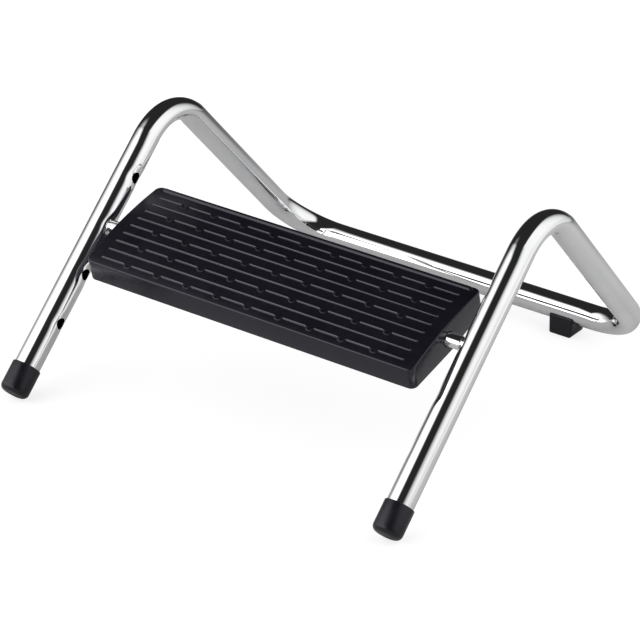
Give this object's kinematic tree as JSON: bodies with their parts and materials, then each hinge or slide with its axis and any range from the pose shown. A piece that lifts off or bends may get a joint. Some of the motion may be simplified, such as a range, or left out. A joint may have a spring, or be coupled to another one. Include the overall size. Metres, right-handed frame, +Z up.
{
  "type": "footrest",
  "caption": "Low footrest: a black ribbed plate that tilts on a rod between the front legs of a bent chromed tube frame with rubber caps and feet.",
  "frame": {"origin": "on the floor, under the centre of the footrest's overall width and depth", "axes": "+Z up, -Y towards the person whose feet rest on it, X along the plate and the rod"},
  "size_m": [0.439, 0.4756, 0.2292],
  "materials": {
    "chromed_steel": "polished",
    "plate_plastic": "satin",
    "black_rubber": "matte",
    "zinc_plated_steel": "satin"
  },
  "bodies": {
    "frame": {"tube_frame": "chromed_steel", "left_front_cap": "black_rubber", "right_front_cap": "black_rubber", "left_rear_foot": "black_rubber", "right_rear_foot": "black_rubber", "rear_foot_screws": "zinc_plated_steel"},
    "plate": {"foot_plate": "plate_plastic", "pivot_rod": "chromed_steel"}
  },
  "joints": [
    {"name": "plate_tilt", "type": "hinge", "parent": "frame", "child": "plate", "pos_m": [0, -0.1005, 0.13527], "axis": [1, 0, 0], "continuous": true}
  ]
}
